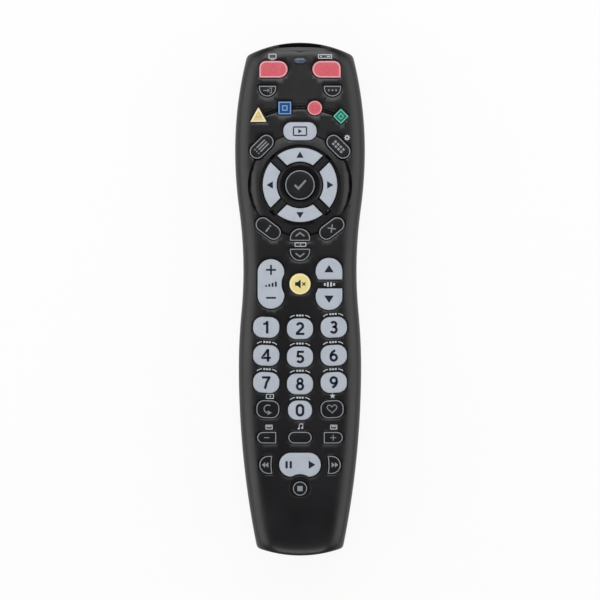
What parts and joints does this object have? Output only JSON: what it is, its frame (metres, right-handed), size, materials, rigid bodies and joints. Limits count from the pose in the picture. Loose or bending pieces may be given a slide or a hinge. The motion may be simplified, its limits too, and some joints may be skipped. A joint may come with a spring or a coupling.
{
  "type": "remote control",
  "caption": "Slim waisted infrared remote control with rubber keys in a black shell, a ring-shaped navigation pad, rocker keys, a number pad and a sliding battery door.",
  "frame": {"origin": "middle of the flat back, under the middle of the outline's box", "axes": "+Y along the remote towards its infrared window, +Z from the back up through the keys, +X to the right seen from above with the window at the top"},
  "size_m": [0.0562, 0.222, 0.0287],
  "materials": {
    "case": "fine satin texture",
    "black_key": "smooth matt",
    "grey_key": "smooth matt",
    "red_key": "smooth matt",
    "yellow_key": "smooth matt",
    "blue_key": "smooth matt",
    "green_key": "smooth matt",
    "window": "polished",
    "light_pipe": "clear, slightly milky",
    "rubber": "moulded",
    "board": "lacquered",
    "chip": "moulded",
    "resonator": "plated can",
    "capacitor": "sleeved",
    "status_led": "moulded",
    "emitter": "clear tinted",
    "cell": "printed sleeve",
    "contact": "nickel plated",
    "screw": "zinc plated"
  },
  "bodies": {
    "remote": {"top_case": "case", "bottom_case": "case", "ir_window": "window", "light_pipe": "light_pipe", "keypad_sheet": "rubber", "circuit_board": "board", "control_chip": "chip", "resonator": "resonator", "capacitor": "capacitor", "status_led": "status_led", "ir_emitters": "emitter", "battery_cells": "cell", "contact_springs": "contact", "contact_plates": "contact", "case_screws": "screw"},
    "door": {"battery_door": "case"},
    "tv_power_key_body": {"tv_power_key": "red_key"},
    "box_power_key_body": {"box_power_key": "red_key"},
    "input_key_body": {"input_key": "black_key"},
    "setup_key_body": {"setup_key": "black_key"},
    "triangle_key_body": {"triangle_key": "yellow_key"},
    "square_key_body": {"square_key": "blue_key"},
    "round_key_body": {"round_key": "red_key"},
    "diamond_key_body": {"diamond_key": "green_key"},
    "on_demand_key_body": {"on_demand_key": "grey_key"},
    "guide_key_body": {"guide_key": "black_key"},
    "menu_key_body": {"menu_key": "black_key"},
    "up_key_body": {"up_key": "grey_key"},
    "left_key_body": {"left_key": "grey_key"},
    "down_key_body": {"down_key": "grey_key"},
    "right_key_body": {"right_key": "grey_key"},
    "ok_key_body": {"ok_key": "grey_key"},
    "info_key_body": {"info_key": "black_key"},
    "exit_key_body": {"exit_key": "black_key"},
    "page_up_key_body": {"page_up_key": "black_key"},
    "page_down_key_body": {"page_down_key": "black_key"},
    "volume_rocker_body": {"volume_rocker": "grey_key"},
    "channel_up_key_body": {"channel_up_key": "grey_key"},
    "channel_down_key_body": {"channel_down_key": "grey_key"},
    "mute_key_body": {"mute_key": "yellow_key"},
    "digit_0_key_body": {"digit_0_key": "grey_key"},
    "digit_1_key_body": {"digit_1_key": "grey_key"},
    "digit_2_key_body": {"digit_2_key": "grey_key"},
    "digit_3_key_body": {"digit_3_key": "grey_key"},
    "digit_4_key_body": {"digit_4_key": "grey_key"},
    "digit_5_key_body": {"digit_5_key": "grey_key"},
    "digit_6_key_body": {"digit_6_key": "grey_key"},
    "digit_7_key_body": {"digit_7_key": "grey_key"},
    "digit_8_key_body": {"digit_8_key": "grey_key"},
    "digit_9_key_body": {"digit_9_key": "grey_key"},
    "last_key_body": {"last_key": "black_key"},
    "favourite_key_body": {"favourite_key": "black_key"},
    "day_back_key_body": {"day_back_key": "black_key"},
    "day_forward_key_body": {"day_forward_key": "black_key"},
    "music_key_body": {"music_key": "black_key"},
    "rewind_key_body": {"rewind_key": "black_key"},
    "fast_forward_key_body": {"fast_forward_key": "black_key"},
    "play_pause_rocker_body": {"play_pause_rocker": "grey_key"},
    "stop_key_body": {"stop_key": "black_key"}
  },
  "joints": [
    {"name": "battery_door_slide", "type": "slide", "parent": "remote", "child": "door", "axis": [0, -1, 0], "range_m": [0, 0.0715]},
    {"name": "tv_power_key_press", "type": "slide", "parent": "remote", "child": "tv_power_key_body", "axis": [0, 0, -1], "range_m": [0, 0.0011], "stiffness_N_per_m": 600, "deforming": ["keypad_sheet"]},
    {"name": "box_power_key_press", "type": "slide", "parent": "remote", "child": "box_power_key_body", "axis": [0, 0, -1], "range_m": [0, 0.0011], "stiffness_N_per_m": 600, "deforming": ["keypad_sheet"]},
    {"name": "input_key_press", "type": "slide", "parent": "remote", "child": "input_key_body", "axis": [0, 0, -1], "range_m": [0, 0.0011], "stiffness_N_per_m": 600, "deforming": ["keypad_sheet"]},
    {"name": "setup_key_press", "type": "slide", "parent": "remote", "child": "setup_key_body", "axis": [0, 0, -1], "range_m": [0, 0.0011], "stiffness_N_per_m": 600, "deforming": ["keypad_sheet"]},
    {"name": "triangle_key_press", "type": "slide", "parent": "remote", "child": "triangle_key_body", "axis": [0, 0, -1], "range_m": [0, 0.0011], "stiffness_N_per_m": 600, "deforming": ["keypad_sheet"]},
    {"name": "square_key_press", "type": "slide", "parent": "remote", "child": "square_key_body", "axis": [0, 0, -1], "range_m": [0, 0.0011], "stiffness_N_per_m": 600, "deforming": ["keypad_sheet"]},
    {"name": "round_key_press", "type": "slide", "parent": "remote", "child": "round_key_body", "axis": [0, 0, -1], "range_m": [0, 0.0011], "stiffness_N_per_m": 600, "deforming": ["keypad_sheet"]},
    {"name": "diamond_key_press", "type": "slide", "parent": "remote", "child": "diamond_key_body", "axis": [0, 0, -1], "range_m": [0, 0.0011], "stiffness_N_per_m": 600, "deforming": ["keypad_sheet"]},
    {"name": "on_demand_key_press", "type": "slide", "parent": "remote", "child": "on_demand_key_body", "axis": [0, 0, -1], "range_m": [0, 0.0011], "stiffness_N_per_m": 600, "deforming": ["keypad_sheet"]},
    {"name": "guide_key_press", "type": "slide", "parent": "remote", "child": "guide_key_body", "axis": [0, 0, -1], "range_m": [0, 0.0011], "stiffness_N_per_m": 600, "deforming": ["keypad_sheet"]},
    {"name": "menu_key_press", "type": "slide", "parent": "remote", "child": "menu_key_body", "axis": [0, 0, -1], "range_m": [0, 0.0011], "stiffness_N_per_m": 600, "deforming": ["keypad_sheet"]},
    {"name": "up_key_press", "type": "slide", "parent": "remote", "child": "up_key_body", "axis": [0, 0, -1], "range_m": [0, 0.0011], "stiffness_N_per_m": 600, "deforming": ["keypad_sheet"]},
    {"name": "left_key_press", "type": "slide", "parent": "remote", "child": "left_key_body", "axis": [0, 0, -1], "range_m": [0, 0.0011], "stiffness_N_per_m": 600, "deforming": ["keypad_sheet"]},
    {"name": "down_key_press", "type": "slide", "parent": "remote", "child": "down_key_body", "axis": [0, 0, -1], "range_m": [0, 0.0011], "stiffness_N_per_m": 600, "deforming": ["keypad_sheet"]},
    {"name": "right_key_press", "type": "slide", "parent": "remote", "child": "right_key_body", "axis": [0, 0, -1], "range_m": [0, 0.0011], "stiffness_N_per_m": 600, "deforming": ["keypad_sheet"]},
    {"name": "ok_key_press", "type": "slide", "parent": "remote", "child": "ok_key_body", "axis": [0, 0, -1], "range_m": [0, 0.0011], "stiffness_N_per_m": 600, "deforming": ["keypad_sheet"]},
    {"name": "info_key_press", "type": "slide", "parent": "remote", "child": "info_key_body", "axis": [0, 0, -1], "range_m": [0, 0.0011], "stiffness_N_per_m": 600, "deforming": ["keypad_sheet"]},
    {"name": "exit_key_press", "type": "slide", "parent": "remote", "child": "exit_key_body", "axis": [0, 0, -1], "range_m": [0, 0.0011], "stiffness_N_per_m": 600, "deforming": ["keypad_sheet"]},
    {"name": "page_up_key_press", "type": "slide", "parent": "remote", "child": "page_up_key_body", "axis": [0, 0, -1], "range_m": [0, 0.0011], "stiffness_N_per_m": 600, "deforming": ["keypad_sheet"]},
    {"name": "page_down_key_press", "type": "slide", "parent": "remote", "child": "page_down_key_body", "axis": [0, 0, -1], "range_m": [0, 0.0011], "stiffness_N_per_m": 600, "deforming": ["keypad_sheet"]},
    {"name": "volume_rocker_rock", "type": "hinge", "parent": "remote", "child": "volume_rocker_body", "pos_m": [-0.01255, 0.00655, 0.0241], "axis": [1, 0, 0], "range_deg": [-3.5, 3.5], "stiffness_Nm_per_rad": 0.15, "deforming": ["keypad_sheet"]},
    {"name": "channel_up_key_press", "type": "slide", "parent": "remote", "child": "channel_up_key_body", "axis": [0, 0, -1], "range_m": [0, 0.0011], "stiffness_N_per_m": 600, "deforming": ["keypad_sheet"]},
    {"name": "channel_down_key_press", "type": "slide", "parent": "remote", "child": "channel_down_key_body", "axis": [0, 0, -1], "range_m": [0, 0.0011], "stiffness_N_per_m": 600, "deforming": ["keypad_sheet"]},
    {"name": "mute_key_press", "type": "slide", "parent": "remote", "child": "mute_key_body", "axis": [0, 0, -1], "range_m": [0, 0.0011], "stiffness_N_per_m": 600, "deforming": ["keypad_sheet"]},
    {"name": "digit_0_key_press", "type": "slide", "parent": "remote", "child": "digit_0_key_body", "axis": [0, 0, -1], "range_m": [0, 0.0011], "stiffness_N_per_m": 600, "deforming": ["keypad_sheet"]},
    {"name": "digit_1_key_press", "type": "slide", "parent": "remote", "child": "digit_1_key_body", "axis": [0, 0, -1], "range_m": [0, 0.0011], "stiffness_N_per_m": 600, "deforming": ["keypad_sheet"]},
    {"name": "digit_2_key_press", "type": "slide", "parent": "remote", "child": "digit_2_key_body", "axis": [0, 0, -1], "range_m": [0, 0.0011], "stiffness_N_per_m": 600, "deforming": ["keypad_sheet"]},
    {"name": "digit_3_key_press", "type": "slide", "parent": "remote", "child": "digit_3_key_body", "axis": [0, 0, -1], "range_m": [0, 0.0011], "stiffness_N_per_m": 600, "deforming": ["keypad_sheet"]},
    {"name": "digit_4_key_press", "type": "slide", "parent": "remote", "child": "digit_4_key_body", "axis": [0, 0, -1], "range_m": [0, 0.0011], "stiffness_N_per_m": 600, "deforming": ["keypad_sheet"]},
    {"name": "digit_5_key_press", "type": "slide", "parent": "remote", "child": "digit_5_key_body", "axis": [0, 0, -1], "range_m": [0, 0.0011], "stiffness_N_per_m": 600, "deforming": ["keypad_sheet"]},
    {"name": "digit_6_key_press", "type": "slide", "parent": "remote", "child": "digit_6_key_body", "axis": [0, 0, -1], "range_m": [0, 0.0011], "stiffness_N_per_m": 600, "deforming": ["keypad_sheet"]},
    {"name": "digit_7_key_press", "type": "slide", "parent": "remote", "child": "digit_7_key_body", "axis": [0, 0, -1], "range_m": [0, 0.0011], "stiffness_N_per_m": 600, "deforming": ["keypad_sheet"]},
    {"name": "digit_8_key_press", "type": "slide", "parent": "remote", "child": "digit_8_key_body", "axis": [0, 0, -1], "range_m": [0, 0.0011], "stiffness_N_per_m": 600, "deforming": ["keypad_sheet"]},
    {"name": "digit_9_key_press", "type": "slide", "parent": "remote", "child": "digit_9_key_body", "axis": [0, 0, -1], "range_m": [0, 0.0011], "stiffness_N_per_m": 600, "deforming": ["keypad_sheet"]},
    {"name": "last_key_press", "type": "slide", "parent": "remote", "child": "last_key_body", "axis": [0, 0, -1], "range_m": [0, 0.0011], "stiffness_N_per_m": 600, "deforming": ["keypad_sheet"]},
    {"name": "favourite_key_press", "type": "slide", "parent": "remote", "child": "favourite_key_body", "axis": [0, 0, -1], "range_m": [0, 0.0011], "stiffness_N_per_m": 600, "deforming": ["keypad_sheet"]},
    {"name": "day_back_key_press", "type": "slide", "parent": "remote", "child": "day_back_key_body", "axis": [0, 0, -1], "range_m": [0, 0.0011], "stiffness_N_per_m": 600, "deforming": ["keypad_sheet"]},
    {"name": "day_forward_key_press", "type": "slide", "parent": "remote", "child": "day_forward_key_body", "axis": [0, 0, -1], "range_m": [0, 0.0011], "stiffness_N_per_m": 600, "deforming": ["keypad_sheet"]},
    {"name": "music_key_press", "type": "slide", "parent": "remote", "child": "music_key_body", "axis": [0, 0, -1], "range_m": [0, 0.0011], "stiffness_N_per_m": 600, "deforming": ["keypad_sheet"]},
    {"name": "rewind_key_press", "type": "slide", "parent": "remote", "child": "rewind_key_body", "axis": [0, 0, -1], "range_m": [0, 0.0011], "stiffness_N_per_m": 600, "deforming": ["keypad_sheet"]},
    {"name": "fast_forward_key_press", "type": "slide", "parent": "remote", "child": "fast_forward_key_body", "axis": [0, 0, -1], "range_m": [0, 0.0011], "stiffness_N_per_m": 600, "deforming": ["keypad_sheet"]},
    {"name": "play_pause_rocker_rock", "type": "hinge", "parent": "remote", "child": "play_pause_rocker_body", "pos_m": [0, -0.0717, 0.0241], "axis": [0, 1, 0], "range_deg": [-3.5, 3.5], "stiffness_Nm_per_rad": 0.15, "deforming": ["keypad_sheet"]},
    {"name": "stop_key_press", "type": "slide", "parent": "remote", "child": "stop_key_body", "axis": [0, 0, -1], "range_m": [0, 0.0011], "stiffness_N_per_m": 600, "deforming": ["keypad_sheet"]}
  ]
}
